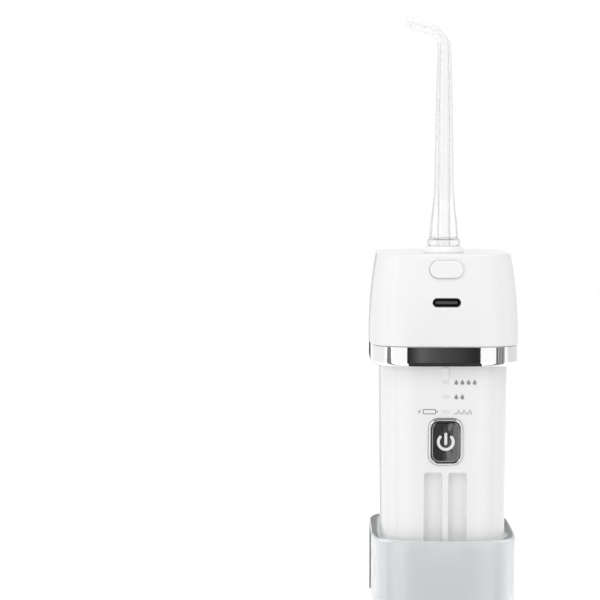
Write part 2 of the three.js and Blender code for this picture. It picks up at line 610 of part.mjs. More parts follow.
// Each disc has a pocket, and its channel starts in the pocket's ceiling.
function valveBlock() {
  const [bottom, top] = BLOCK;
  const { x, pocket, channel } = VALVES;
  const ceiling = bottom + 1.8;
  const hoseY = 12;
  const body = box(-8, 8, 0.4, 15.6, bottom, top);
  const barb = postX(1.5, -11.6, -7, hoseY, CHANNEL_Z, 12);
  const pockets = [-x, x].flatMap((at) => [
    postZ(pocket, bottom - 1, ceiling, at, PUMP_Y),
    postZ(channel, bottom, CHANNEL_Z, at, PUMP_Y, 12),
  ]);
  const inlet = [
    postX(channel, -13, -3, hoseY, CHANNEL_Z, 12),
    postY(channel, PUMP_Y, hoseY, -x, CHANNEL_Z, 12),
  ];
  const outlet = [
    postX(channel, 0, 4, PUMP_Y, CHANNEL_Z, 12),
    postY(channel, -1, PUMP_Y, 0, CHANNEL_Z, 12),
    box(x - 2.3, x + 2.3, PUMP_Y - 0.5, PUMP_Y + 0.5, ceiling - 0.5, ceiling + 0.5),
  ];
  return cut(join(body, barb), ...pockets, ...inlet, ...outlet);
}

function valveDisc() {
  const seat = VALVE_PLATE[1] + GAP;
  const { radius } = VALVES;
  return turned([[0, seat], [radius, seat], [radius, seat + 0.7], [0.8, seat + 1], [0, seat + 1]], 16);
}
add(handle, "valve_plate", valvePlate().translate(0, PUMP_Y, 0), innerPlastic);
add(handle, "valve_block", valveBlock(), innerPlastic);
add(inletDisc, "inlet_valve", valveDisc(), greySilicone);
add(outletDisc, "outlet_valve", valveDisc(), greySilicone);

// ---- water path from the tank to the pump ----
const GUIDE_TOP = -30;
function suctionGuide() {
  const sleeve = postZ(4.1, END_CAP_BOTTOM, GUIDE_TOP, ...SUCTION);
  const bore = postZ(3.3, END_CAP_BOTTOM - 1, GUIDE_TOP - 2, ...SUCTION);
  const barb = postZ(1.5, GUIDE_TOP - 0.5, GUIDE_TOP + 2.8, ...SUCTION, 12);
  return cut(join(cut(sleeve, bore), barb), postZ(0.9, GUIDE_TOP - 3, GUIDE_TOP + 4, ...SUCTION, 12));
}
add(handle, "suction_guide", suctionGuide(), clearPlastic);
const hoseRoute = [
  [...SUCTION, GUIDE_TOP + 0.4], [...SUCTION, GUIDE_TOP + 3], [-14, 13, -22.5], [-15.5, 13, -16],
  [-15.6, 13, -6], [-15.6, 13, 4], [-16, 12.4, 13], [-16.6, 12, CHANNEL_Z - 4.5],
  [-14.6, 12, CHANNEL_Z - 0.4], [-8.6, 12, CHANNEL_Z],
];
add(handle, "inlet_hose", tube(hoseRoute, 2.3, 1.8, 4, 20), clearPlastic);

// ---- nozzle socket, rotation dial and release latch ----
function nozzleSocket() {
  const wallTop = HEAD_TOP - 0.6;
  const body = turned([[0, 13.6], [5.6, 13.6], [5.6, wallTop], [4.6, wallTop], [4.6, 15.6], [0, 15.6]]);
  const spout = postY(1.7, 5, 9.1, 0, CHANNEL_Z, 16);
  return cut(join(body, spout), postY(VALVES.channel, 4, 10, 0, CHANNEL_Z, 12));
}
add(handle, "nozzle_socket", nozzleSocket().translate(0, NOZZLE_Y, 0), innerPlastic);

function rotationDial() {
  const rim = HEAD_TOP + GAP;
  const sleeve = turned([
    [3.1, 15.9], [4.3, 15.9], [4.3, 18.4], [3.75, 18.4], [3.75, 20], [4.3, 20], [4.3, rim], [6.6, rim],
    [6.5, rim + 0.9], [5.9, SEAT_TOP - 0.3], [5.6, SEAT_TOP], [3.1, SEAT_TOP], [3.1, 15.9],
  ]);
  return cut(sleeve, postX(1.2, -6, 6, 0, CHANNEL_Z, 12));
}
add(dial, "rotation_dial", rotationDial(), whitePlastic);
add(dial, "dial_o_ring", washer(3.85, 4.5, 18.6, 19.8), blackPlastic);

function releaseCap() {
  const pill = slab(...RELEASE, RELEASE[1] / 2 - 0.01, -32, -23, RELEASE_Z);
  return pill.intersect(headOutside(0.9));
}

// A frame round the nozzle socket, which the release button pushes back against its spring.
const releaseLatch = () =>
  cut(
    box(-8.6, 8.6, -22.7, 1.2, RELEASE_Z - 0.8, RELEASE_Z + 0.8),
    box(-6.2, 6.2, -17, -1.2, RELEASE_Z - 2, RELEASE_Z + 2),
  );
add(releaseButton, "release_button", releaseCap(), whitePlastic);
add(releaseButton, "release_latch", releaseLatch(), innerPlastic);

class Helix extends THREE.Curve {
  constructor(radius, length, turns) {
    super();
    Object.assign(this, { radius, length, turns });
  }
  getPoint(t, target = new THREE.Vector3()) {
    const angle = 2 * Math.PI * this.turns * t;
    return target.set(this.radius * Math.cos(angle), this.length * t, this.radius * Math.sin(angle));
  }
}
function releaseSpring() {
  const wire = new THREE.Shape().absarc(0, 0, 0.2, 0, 2 * Math.PI);
  const settings = { steps: 40, curveSegments: 2, extrudePath: new Helix(1.2, 3, 5), bevelEnabled: false };
  return solid(new THREE.ExtrudeGeometry(wire, settings)).translate(0, 1.7, RELEASE_Z);
}
add(handle, "release_spring", releaseSpring(), steel);

// ---- nozzle: stem, flange, flared base, tapering tube and bent tip ----
function nozzleBody() {
  const flange = SEAT_TOP + GAP;
  const base = flange + 2.1;
  const bend = base + 61;
  const seal = [STEM_BOTTOM + 1.4, STEM_BOTTOM + 2.8]; // the groove of the nozzle's O-ring
  const straight = turned([
    [0, STEM_BOTTOM], [2.8, STEM_BOTTOM], [2.8, seal[0]], [2.3, seal[0]], [2.3, seal[1]], [2.8, seal[1]],
    [2.8, flange], [5.1, flange], [5.35, flange + 0.3], [5.35, base - 0.4], [5.0, base], [4.65, base + 0.2],
    [4.3, base + 4.5], [3.5, base + 10.5], [3.2, base + 17], [2.85, base + 37], [2.2, bend], [0, bend],
  ], 20);
  const tipPath = [
    [0, 0, bend - 1], [0, 0, bend + 0.5], [-0.7, 0, bend + 3.4], [-2.9, 0, bend + 6.0], [-6.2, 0, bend + 7.4],
    [-12.5, 0, bend + 9],
  ];
  const tip = tube(tipPath, 2.15, 0, 8, 12);
  const jet = tube([[-11, 0, bend + 8.62], [-14, 0, bend + 9.38]], 1.3, 0, 6, 2);
  const bore = join(
    postZ(1.6, STEM_BOTTOM - 1, base + 46, 0, 0, 16),
    postZ(1.6, base + 46, bend - 4, 0, 0, 16, 1.0),
  );
  return cut(join(straight, tip, jet), bore);
}
add(nozzle, "nozzle", nozzleBody(), clearPlastic);
add(nozzle, "nozzle_o_ring", washer(2.4, 3.0, STEM_BOTTOM + 1.6, STEM_BOTTOM + 2.6), blackPlastic);

export default flosser;
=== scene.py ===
"""A collapsible water flosser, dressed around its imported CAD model. Metres, +Z up, front towards -Y."""

import json
import math

import bmesh
import bpy
import numpy as np
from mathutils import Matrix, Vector


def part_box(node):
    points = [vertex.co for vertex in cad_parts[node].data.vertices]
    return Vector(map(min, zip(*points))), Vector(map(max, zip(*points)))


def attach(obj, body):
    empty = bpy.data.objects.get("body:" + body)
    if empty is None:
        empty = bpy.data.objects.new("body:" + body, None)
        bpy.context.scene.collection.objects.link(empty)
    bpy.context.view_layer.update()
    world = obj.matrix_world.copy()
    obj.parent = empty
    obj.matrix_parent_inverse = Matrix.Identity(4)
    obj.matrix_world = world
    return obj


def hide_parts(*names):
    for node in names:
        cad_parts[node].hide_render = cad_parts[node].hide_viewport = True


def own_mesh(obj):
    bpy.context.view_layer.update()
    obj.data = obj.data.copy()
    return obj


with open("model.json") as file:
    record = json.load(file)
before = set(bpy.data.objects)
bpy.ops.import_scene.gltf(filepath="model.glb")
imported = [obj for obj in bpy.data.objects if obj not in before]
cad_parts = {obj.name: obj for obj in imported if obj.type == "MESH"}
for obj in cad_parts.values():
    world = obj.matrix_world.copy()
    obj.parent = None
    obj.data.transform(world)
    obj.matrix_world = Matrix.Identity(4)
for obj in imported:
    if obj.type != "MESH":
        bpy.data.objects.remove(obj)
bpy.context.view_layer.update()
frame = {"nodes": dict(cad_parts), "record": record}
scene = bpy.context.scene
MM = 0.001


# ---- sizes, taken from the frame ----
def middle_z(node):
    low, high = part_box(node)
    return (low.z + high.z) / 2


HEAD_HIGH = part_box("head_shell")[1]
BAND_LOW, BAND_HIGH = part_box("chrome_band")
HANDLE_LOW, HANDLE_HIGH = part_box("handle_shell")
TANK_LOW, TANK_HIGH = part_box("tank_shell")
END_LOW, END_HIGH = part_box("handle_end_cap")
SEAL_LOW, SEAL_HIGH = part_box("tank_seal")
PAD_LOW, PAD_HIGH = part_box("base_pad")
DIAL_LOW, DIAL_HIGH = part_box("rotation_dial")
NOZZLE_LOW, NOZZLE_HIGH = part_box("nozzle")
BUTTON_LOW, BUTTON_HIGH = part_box("power_button_cap")
TUBE_LOW, TUBE_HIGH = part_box("suction_tube")
PIN_LOW, PIN_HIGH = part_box("fill_door_pin")

ROUNDNESS = 5  # exponent of the superellipse that every casing follows
BAND_Z = BAND_LOW.z
SEAM_Z = BAND_HIGH.z
HEAD_HALF = (HEAD_HIGH.x, HEAD_HIGH.y)
BAND_HALF = (BAND_HIGH.x, BAND_HIGH.y)
HANDLE_HALF = (HANDLE_HIGH.x, HANDLE_HIGH.y)
TANK_HALF = (TANK_HIGH.x, -TANK_LOW.y)
HANDLE_WALL = 2.0 * MM
HANDLE_DRAFT = math.tan(math.radians(0.6))
HEAD_WALL = 1.8 * MM
HEAD_TAPER, HEAD_CURVE = 2.6 * MM, 2.2  # its sides lean in with this power of the height
HEAD_FILLET = 0.8 * MM
HEAD_HEIGHT = HEAD_HIGH.z - SEAM_Z
SEAM_GAP = 0.1 * MM
TANK_WALL = 1.8 * MM
AXIS_Y = (DIAL_LOW.y + DIAL_HIGH.y) / 2  # where the nozzle and its dial stand

RELEASE_Z = middle_z("release_button")
PORT_Z = middle_z("usb_socket")
LAMPS = [middle_z(f"mode_led_{i}") for i in (1, 2, 3)]
BUTTON_Z = middle_z("power_button_cap")
SUCTION = ((TUBE_LOW.x + TUBE_HIGH.x) / 2, (TUBE_LOW.y + TUBE_HIGH.y) / 2)
HINGE = ((PIN_LOW.y + PIN_HIGH.y) / 2, (PIN_LOW.z + PIN_HIGH.z) / 2)
DOOR_Z = HINGE[1] + 10.6 * MM


# ---- camera ----
def make_camera():
    distance = 620 * MM
    azimuth = math.radians(-3.4)
    eye_above_seam = 51 * MM
    aim_above_seam = 13 * MM
    aim_left_of_axis = 46.9 * MM
    right = Vector((math.cos(azimuth), math.sin(azimuth), 0))
    away = Vector((-math.sin(azimuth), math.cos(azimuth), 0))
    eye = Vector((0, 0, SEAM_Z + eye_above_seam)) - away * distance
    aim = Vector((0, 0, SEAM_Z + aim_above_seam)) - right * aim_left_of_axis
    data = bpy.data.cameras.new("camera")
    data.lens = 112.6
    camera = bpy.data.objects.new("camera", data)
    camera.location = eye
    camera.rotation_euler = (aim - eye).to_track_quat("-Z", "Y").to_euler()
    scene.collection.objects.link(camera)
    scene.camera = camera


make_camera()


# ---- outlines and sections ----
def angles(first, last, steps):
    """Evenly spaced angles, with both ends."""
    return [first + (last - first) * i / steps for i in range(steps + 1)]


def full_turn(count):
    return [2 * math.pi * i / count for i in range(count)]


def unit_outline(count=320, fine_count=20001):
    """A superellipse with half sizes of 1, as points evenly spaced along it, measured on a finer one."""
    turn = np.linspace(0, 2 * math.pi, fine_count)
    x, y = (np.sign(wave) * np.abs(wave) ** (2 / ROUNDNESS) for wave in (np.cos(turn), np.sin(turn)))
    length = np.concatenate([[0], np.cumsum(np.hypot(np.diff(x), np.diff(y)))])
    even = np.linspace(0, length[-1], count, endpoint=False)
    return np.column_stack([np.interp(even, length, x), np.interp(even, length, y)])


OUTLINE = unit_outline()


def ring(half, z, inset=0.0):
    return [(x * (half[0] - inset), y * (half[1] - inset), z) for x, y in OUTLINE]


def circle(radius, z, centre=(0, AXIS_Y), count=96):
    x, y = centre
    return [(x + radius * math.cos(a), y + radius * math.sin(a), z) for a in full_turn(count)]


def quarter(radius, steps=6):
    """(how far in, how far up) along a quarter round that starts on the side and ends on the face."""
    return [(radius * (1 - math.cos(a)), radius * (math.sin(a) - 1)) for a in angles(0, math.pi / 2, steps)]


def rounded_outline(width, height, corner, steps=8):
    """A rounded rectangle, whose sides and corners never shrink to nothing."""
    fullest, least = 0.998 / 2, 1e-6
    corner = max(min(corner, width * fullest, height * fullest), least)
    x, y = width / 2 - corner, height / 2 - corner
    points = []
    for quadrant, (cx, cy) in enumerate(((x, y), (-x, y), (-x, -y), (x, -y))):
        for i in range(steps + 1):
            a = (quadrant + i / steps) * math.pi / 2
            points.append((cx + corner * math.cos(a), cy + corner * math.sin(a)))
    return points


def plate_rings(width, height, corner, levels, place, centre=(0, 0)):
    """Rings of a rounded rectangle at (depth, inset) levels, whose points are set by place(x, z, depth)."""
    rings = []
    for depth, inset in levels:
        outline = rounded_outline(width - 2 * inset, height - 2 * inset, corner - inset)
        rings.append([place(centre[0] + x, centre[1] + z, depth) for x, z in outline])
    return rings


# ---- mesh tools ----
def shade(obj, angle=32):
    obj.data.shade_smooth()
    obj.data.set_sharp_from_angle(angle=math.radians(angle))


def mesh_object(name, vertices, faces):
    data = bpy.data.meshes.new(name)
    data.from_pydata(vertices, [], faces)
    clean = bmesh.new()
    clean.from_mesh(data)
    bmesh.ops.remove_doubles(clean, verts=clean.verts, dist=1e-7)
    bmesh.ops.recalc_face_normals(clean, faces=clean.faces)
    clean.to_mesh(data)
    clean.free()
    obj = bpy.data.objects.new(name, data)
    scene.collection.objects.link(obj)
    shade(obj)
    return obj


def skin(name, rings, loop=False):
    """Skins rings of equal count. Without loop, the first and last ring are closed by a face."""
    count = len(rings[0])
    vertices = [point for ring_points in rings for point in ring_points]
    faces = []
    for level in range(len(rings) if loop else len(rings) - 1):
        low, high = level * count, (level + 1) % len(rings) * count
        for i in range(count):
            j = (i + 1) % count
            faces.append((low + i, low + j, high + j, high + i))
    if not loop:
        faces.append(tuple(reversed(range(count))))
        faces.append(tuple(range(len(vertices) - count, len(vertices))))
    return mesh_object(name, vertices, faces)


def carve(target, operation, *tools):
    """Cuts the tools from the target, or joins them to it, and removes them."""
    for tool in tools:
        change = target.modifiers.new("carve", "BOOLEAN")
        change.operation = operation
        change.solver = "EXACT"
        change.object = tool
    graph = bpy.context.evaluated_depsgraph_get()
    before = target.data
    carved = bpy.data.meshes.new_from_object(target.evaluated_get(graph))
    target.modifiers.clear()
    target.data = carved
    for data in [before, *(tool.data for tool in tools)]:
        bpy.data.meshes.remove(data)
    shade(target)


def finish_piece(obj, body, slot, surface, *replaced):
    """Everything a finished piece needs: its material, body and the CAD nodes that it stands for. The slot
    is not used.
    """
    # the large faces decide the shading, so that flat stretches stay flat beside their rounded edges
    obj.modifiers.new("weighted", "WEIGHTED_NORMAL").keep_sharp = True
    obj.data.materials.clear()
    obj.data.materials.append(surface)
    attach(obj, body)
    if replaced:
        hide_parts(*replaced)


# ---- places on the casings, as (x, z, depth in front of the face) ----
def bulge(half, x):
    return (1 - min(1, abs(x) / half[0]) ** ROUNDNESS) ** (1 / ROUNDNESS) * half[1]


def head_inset(height):
    """How far the head's side stands in from its base, at a height above the seam."""
    return HEAD_TAPER * (max(0, height) / HEAD_HEIGHT) ** HEAD_CURVE


def handle_inset(z):
    return max(0, BAND_Z - z) * HANDLE_DRAFT


def on_head(x, z, depth):
    inset = head_inset(z - SEAM_Z)
    return (x, -bulge((HEAD_HALF[0] - inset, HEAD_HALF[1] - inset), x) - depth, z)


def on_handle(x, z, depth):
    inset = handle_inset(z)
    return (x, -bulge((HANDLE_HALF[0] - inset, HANDLE_HALF[1] - inset), x) - depth, z)


def on_tank_back(x, z, depth):
    return (x, bulge(TANK_HALF, x) + depth, z)


def opening(width, height, corner, depth, lip, place, centre, floor=0.0):
    """A tool that cuts an opening with a rounded lip, and a rounded floor if it is a recess."""
    overshoot, flare = 1.5 * MM, 0.25 * MM
    levels = [(-depth, 0)]
    if floor:
        levels = [(-depth - up - floor, inset) for inset, up in reversed(quarter(floor, 4))]
    for a in angles(0, math.radians(72), 5):
        levels.append((-lip + lip * math.sin(a), -lip * (1 - math.cos(a))))
    levels.append((overshoot, levels[-1][1] - flare))
    return skin("tool", plate_rings(width, height, corner, levels, place, centre))


def raised(name, width, height, corner, back, front, edge, place, centre, dish=0.0):
    """A rounded plate from depth back to front, with a rounded front edge, and dished across if asked."""
    back_edge = 0.15 * edge
    levels = [(back, back_edge), (back + back_edge, 0)]
    levels += [(front + up, inset) for inset, up in quarter(edge)]
    reach = min(width, height) / 2 - edge
    levels += [(front, edge + reach * share) for share in (0.03, 0.3, 0.6, 0.85)]

    def dished(x, z, depth):
        hollow = dish * (1 - (2 * (x - centre[0]) / width) ** 2) if depth > back + edge else 0
        return place(x, z, depth - hollow)

    return skin(name, plate_rings(width, height, corner, levels, dished, centre))


PRINT_BACK, PRINT_FRONT = -0.02 * MM, 0.03 * MM


def ribbon(name, line, width, thick, place):
    """A flat stroke with round ends along a line of (x, z) points."""
    points = [Vector(point) for point in line]
    last = len(points) - 1
    ahead = [(points[min(i + 1, last)] - points[max(i - 1, 0)]).normalized() for i in range(len(points))]
    half = width / 2
    left = [p + Vector((-d.y, d.x)) * half for p, d in zip(points, ahead)]
    right = [p - Vector((-d.y, d.x)) * half for p, d in zip(points, ahead)]

    def round_end(centre, direction):
        start = math.atan2(direction.y, direction.x)
        turns = (start - math.pi / 2 + math.pi * i / 8 for i in range(1, 8))
        return [centre + Vector((math.cos(a), math.sin(a))) * half for a in turns]

    outline = right + round_end(points[-1], ahead[-1]) + left[::-1] + round_end(points[0], -ahead[0])
    return skin(name, [[place(x, z, depth) for x, z in outline] for depth in (PRINT_BACK, thick)])


# ---- materials ----
class Surface:
    """A procedural material: a Principled shader with helpers that vary its colour, roughness and bump."""

    def __init__(self, name, **sockets):
        self.material = bpy.data.materials.new(name)
        self.material.use_nodes = True
        self.nodes = self.material.node_tree.nodes
        self.links = self.material.node_tree.links
        self.shader = self.nodes["Principled BSDF"]
        for socket, value in sockets.items():
            self.shader.inputs[socket.replace("_", " ")].default_value = value
        self.place = self.nodes.new("ShaderNodeTexCoord").outputs["Object"]

    def noise(self, per_mm, detail=3.0, stretch=(1, 1, 1)):
        """Noise with about per_mm features in a millimetre, drawn out along an axis by a small stretch."""
        mapping = self.nodes.new("ShaderNodeMapping")
        mapping.inputs["Scale"].default_value = stretch
        self.links.new(self.place, mapping.inputs["Vector"])
        texture = self.nodes.new("ShaderNodeTexNoise")
        texture.inputs["Scale"].default_value = per_mm * 1000
        texture.inputs["Detail"].default_value = detail
        self.links.new(mapping.outputs["Vector"], texture.inputs["Vector"])
        return texture.outputs["Fac"]

    def glow(self, centre, radius):
        """1 at a point, falling to 0 at a radius."""
        mapping = self.nodes.new("ShaderNodeMapping")
        mapping.vector_type = "TEXTURE"
        mapping.inputs["Location"].default_value = centre
        mapping.inputs["Scale"].default_value = (radius, radius, radius)
        self.links.new(self.place, mapping.inputs["Vector"])
        gradient = self.nodes.new("ShaderNodeTexGradient")
        gradient.gradient_type = "QUADRATIC_SPHERE"
        self.links.new(mapping.outputs["Vector"], gradient.inputs["Vector"])
        return gradient.outputs["Fac"]

    def vary(self, socket, source, low, high):
        """Varies a socket between two numbers or two colours."""
        if isinstance(low, tuple):
            ramp = self.nodes.new("ShaderNodeMix")
            ramp.data_type = "RGBA"
            self.links.new(source, ramp.inputs[0])
            ramp.inputs[6].default_value, ramp.inputs[7].default_value = low, high
            self.links.new(ramp.outputs[2], self.shader.inputs[socket])
        else:
            span = self.nodes.new("ShaderNodeMapRange")
            span.inputs["To Min"].default_value, span.inputs["To Max"].default_value = low, high
            self.links.new(source, span.inputs["Value"])
            self.links.new(span.outputs["Result"], self.shader.inputs[socket])

    def bump(self, *layers):
        """Adds bump layers of (source, height in mm)."""
        normal = None
        for source, height in layers:
            node = self.nodes.new("ShaderNodeBump")
            node.inputs["Strength"].default_value = 1.0
            node.inputs["Distance"].default_value = height * MM
            self.links.new(source, node.inputs["Height"])
            if normal:
                self.links.new(normal, node.inputs["Normal"])
            normal = node.outputs["Normal"]
        self.links.new(normal, self.shader.inputs["Normal"])


def moulded(name, low, high, roughness, bump_mm=0.004, **sockets):
    """Moulded plastic: faint flow variation, a fine spark-eroded grain and slightly uneven gloss."""
    made = Surface(name, **sockets)
    made.vary("Base Color", made.noise(0.05, 2), (*low, 1), (*high, 1))
    made.vary("Roughness", made.noise(0.6, 4), roughness - 0.04, roughness + 0.04)
    made.bump((made.noise(0.12, 1), bump_mm), (made.noise(6, 2), bump_mm * 0.12))
    return made.material


def white_plastic(name="white_plastic", level=0.705):
    low, high = ((grey, grey, grey + 0.003) for grey in (level, level + 0.015))
    return moulded(name, low, high, 0.3, Coat_Weight=0.25, Coat_Roughness=0.12, IOR=1.5)


def chrome_plating():
    made = Surface("chrome", Base_Color=(0.9, 0.9, 0.905, 1), Metallic=1.0)
    made.vary("Roughness", made.noise(0.4, 3), 0.02, 0.05)
    made.bump((made.noise(0.06, 1), 0.004))
    return made.material


def smoked_chrome():
    made = Surface("smoked_chrome", Base_Color=(0.4, 0.4, 0.405, 1), Metallic=1.0)
    made.vary("Roughness", made.noise(0.4, 3), 0.03, 0.08)
    made.bump((made.noise(0.22, 1), 0.05), (made.noise(0.9, 1, stretch=(1, 1, 0.5)), 0.014))
    return made.material


def brushed_steel():
    made = Surface("steel", Metallic=1.0)
    grain = made.noise(4, 4, stretch=(1, 1, 0.05))
    made.vary("Base Color", grain, (0.55, 0.56, 0.57, 1), (0.68, 0.69, 0.7, 1))
    made.vary("Roughness", grain, 0.22, 0.36)
    made.bump((grain, 0.004))
    return made.material


def clear_plastic(name="clear_plastic", milk=0.08, tint=(0.98, 0.98, 0.98), roughness=(0.01, 0.03)):
    made = Surface(name, Base_Color=(*tint, 1), IOR=1.49, Transmission_Weight=1 - milk)
    made.vary("Roughness", made.noise(0.5, 3), *roughness)
    made.bump((made.noise(0.1, 1), 0.004))
    return made.material


def silicone(name, low, high):
    made = Surface(name, Sheen_Weight=0.2, Sheen_Roughness=0.4)
    made.vary("Base Color", made.noise(0.3, 3), (*low, 1), (*high, 1))
    made.vary("Roughness", made.noise(1.5, 4), 0.55, 0.72)
    made.bump((made.noise(3, 3), 0.01))
    return made.material


def circuit_board():
    made = Surface("board", Roughness=0.35, Coat_Weight=0.5)
    tracks = made.nodes.new("ShaderNodeTexBrick")
    tracks.inputs["Scale"].default_value = 700
    tracks.inputs["Mortar Size"].default_value = 0.03
    tracks.inputs["Color1"].default_value = (0.01, 0.09, 0.035, 1)
    tracks.inputs["Color2"].default_value = (0.012, 0.12, 0.045, 1)
    tracks.inputs["Mortar"].default_value = (0.03, 0.24, 0.1, 1)
    made.links.new(made.place, tracks.inputs["Vector"])
    made.links.new(tracks.outputs["Color"], made.shader.inputs["Base Color"])
    made.bump((tracks.outputs["Fac"], 0.03))
    return made.material


WHITE = white_plastic()
# the dial's plastic is a brighter copy of the white plastic: painted light that lifts the shade the nozzle's
# collar casts on the dial
DIAL_WHITE_PAINTED_BRIGHTER = white_plastic("dial_plastic_painted_brighter", level=0.82)
CHROME = chrome_plating()
SMOKED = smoked_chrome()
STEEL = brushed_steel()
CLEAR = clear_plastic()
MILKY = clear_plastic("tank_plastic", milk=0.35, tint=(0.93, 0.95, 0.96), roughness=(0.06, 0.12))
INNER = moulded("inner_plastic", (0.55, 0.56, 0.54), (0.6, 0.61, 0.59), 0.5)
BLACK = moulded("black_plastic", (0.012, 0.012, 0.013), (0.02, 0.02, 0.021), 0.35)
GREY_SILICONE = silicone("silicone", (0.5, 0.51, 0.52), (0.56, 0.57, 0.58))
BLACK_RUBBER = silicone("black_rubber", (0.015, 0.015, 0.015), (0.025, 0.025, 0.025))
BOARD = circuit_board()
CELL = moulded("cell_wrap", (0.02, 0.13, 0.38), (0.025, 0.16, 0.44), 0.3, bump_mm=0.02, Coat_Weight=0.3)
TONGUE = moulded("tongue_plastic", (0.045, 0.045, 0.045), (0.055, 0.055, 0.055), 0.5)
PRINT = moulded("grey_print", (0.2, 0.2, 0.2), (0.26, 0.26, 0.26), 0.5)
SYMBOL = moulded("white_print", (0.52, 0.52, 0.52), (0.8, 0.8, 0.8), 0.35)
LENS = clear_plastic("lens", milk=0.9, tint=(0.74, 0.74, 0.74))
SLOT_SURFACE = {
    "white_plastic": WHITE, "inner_plastic": INNER, "tank_plastic": MILKY, "clear_plastic": CLEAR,
    "chrome": CHROME, "dark_chrome": SMOKED, "steel": STEEL, "silicone": GREY_SILICONE,
    "black_plastic": BLACK_RUBBER, "board": BOARD, "cell": CELL,
}


def dress_frame():
    """Gives every CAD node the material of its slot, for those that no piece replaces."""
    for part in frame["record"]["subparts"]:
        node = frame["nodes"][part["node"]]
        node.data.materials.clear()
        node.data.materials.append(SLOT_SURFACE[part["material_slot"]])
        shade(node)


dress_frame()


# ---- head ----
CUT_DEPTH = 5 * MM  # deeper than any casing's wall
RELEASE_LOW, RELEASE_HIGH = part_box("release_button")
RELEASE_SIZE = (RELEASE_HIGH.x - RELEASE_LOW.x, RELEASE_HIGH.z - RELEASE_LOW.z)


def head_rings():
    """From the inside of the crown, down to the rim, and up the outside to the middle of the top."""
    edge = 0.2 * MM
    levels = np.linspace(HEAD_HEIGHT - HEAD_WALL, SEAM_GAP, 8)
    profile = [(height, head_inset(height) + HEAD_WALL) for height in levels]
    profile += [(SEAM_GAP, edge), (SEAM_GAP + edge * 0.3, edge * 0.3)]
    levels = np.linspace(SEAM_GAP + edge, HEAD_HEIGHT - HEAD_FILLET, 26)
    profile += [(height, head_inset(height)) for height in levels]
    for inset, up in quarter(HEAD_FILLET)[1:]:
        profile.append((HEAD_HEIGHT + up, head_inset(HEAD_HEIGHT + up) + inset))
    flat = head_inset(HEAD_HEIGHT) + HEAD_FILLET
    profile += [(HEAD_HEIGHT, flat + further * MM) for further in (0.3, 4, 9)]
    return [ring(HEAD_HALF, SEAM_Z + height, inset) for height, inset in profile]


def make_head():
    head = skin("head_casing", head_rings())
    mouth_r, mouth_reach = 5.9 * MM, 4 * MM
    mouth = skin("tool", [circle(mouth_r, HEAD_HIGH.z + way * mouth_reach) for way in (-1, 1)])
    # the gap round the release button is wider below and on the left
    clearance, shift = 0.11 * MM, -0.03 * MM
    width, height = (size + clearance for size in RELEASE_SIZE)
    release = opening(width, height, corner=height / 2, depth=CUT_DEPTH, lip=0.08 * MM,
                      place=on_head, centre=(shift, RELEASE_Z + shift))
    port = opening(9.0 * MM, 2.9 * MM, corner=1.45 * MM, depth=CUT_DEPTH, lip=0.12 * MM,
                   place=on_head, centre=(0, PORT_Z))
    carve(head, "DIFFERENCE", mouth, release, port)
    finish_piece(head, "handle", "white_plastic", WHITE, "head_shell")


def make_band():
    low_round, top_edge, wall = 1.5 * MM, 0.15 * MM, 1.3 * MM
    inner = tuple(half + 0.3 * MM for half in HANDLE_HALF)
    profile = [(inner, BAND_Z, 0)]
    for a in angles(0, math.pi / 2, 8):
        z = BAND_Z + low_round * (1 - math.cos(a))
        profile.append((BAND_HALF, z, low_round * (1 - math.sin(a))))
    profile += [
        (BAND_HALF, SEAM_Z - top_edge, 0), (BAND_HALF, SEAM_Z, top_edge), (BAND_HALF, SEAM_Z, wall),
        (BAND_HALF, BAND_Z + wall, wall), (inner, BAND_Z + wall, 0),
    ]
    band = skin("chrome_trim", [ring(half, z, inset) for half, z, inset in profile], loop=True)
    finish_piece(band, "handle", "chrome", CHROME, "chrome_band")


# ---- handle ----
GROOVE_INNER, GROOVE_OUTER, GROOVE_DEPTH = 1.05 * MM, 6.7 * MM, 1.2 * MM
GROOVE_TOP, GROOVE_BOTTOM = BAND_Z - 34.1 * MM, BAND_Z - 92.8 * MM
WINDOW = (2.4 * MM, 1.0 * MM)


def handle_rings():
    """Up the outside to the neck inside the band, and down the bore."""
    edge, below_band, neck = 0.3 * MM, 0.05 * MM, 0.7 * MM
    low, top = HANDLE_LOW.z, HANDLE_HIGH.z
    profile = [(low, handle_inset(low) + edge)]
    profile += [(z, handle_inset(z)) for z in np.linspace(low + edge, BAND_Z - below_band, 40)]
    profile += [
        (BAND_Z - below_band, neck), (top, neck),
        (top, HANDLE_WALL), (BAND_Z, HANDLE_WALL), (low, handle_inset(low) + HANDLE_WALL),
    ]
    return [ring(HANDLE_HALF, z, inset) for z, inset in profile]


def make_handle():
    handle = skin("handle_casing", handle_rings(), loop=True)
    groove = (GROOVE_OUTER - GROOVE_INNER, GROOVE_TOP - GROOVE_BOTTOM)
    groove_x, groove_z = (GROOVE_INNER + GROOVE_OUTER) / 2, (GROOVE_TOP + GROOVE_BOTTOM) / 2
    cuts = []
    for side in (-1, 1):
        cuts.append(opening(*groove, corner=0.8 * MM, depth=GROOVE_DEPTH, lip=0.35 * MM, floor=0.75 * MM,
                            place=on_handle, centre=(side * groove_x, groove_z)))
    for z in LAMPS:
        cuts.append(opening(*WINDOW, corner=0.45 * MM, depth=4 * MM, lip=0.04 * MM,
                            place=on_handle, centre=(0, z)))
    cuts.append(opening(10.4 * MM, 14.4 * MM, corner=3 * MM, depth=4 * MM, lip=0.1 * MM,
                        place=on_handle, centre=(0, BUTTON_Z)))
    rib = raised("tool", 2.1 * MM, 3.8 * MM, corner=0.5 * MM, back=-0.8 * MM, front=0.4 * MM, edge=0.35 * MM,
                 place=on_handle, centre=(0, BAND_Z - 2.1 * MM))
    carve(handle, "UNION", rib)
    carve(handle, "DIFFERENCE", *cuts)
    finish_piece(handle, "handle", "white_plastic", WHITE, "handle_shell")


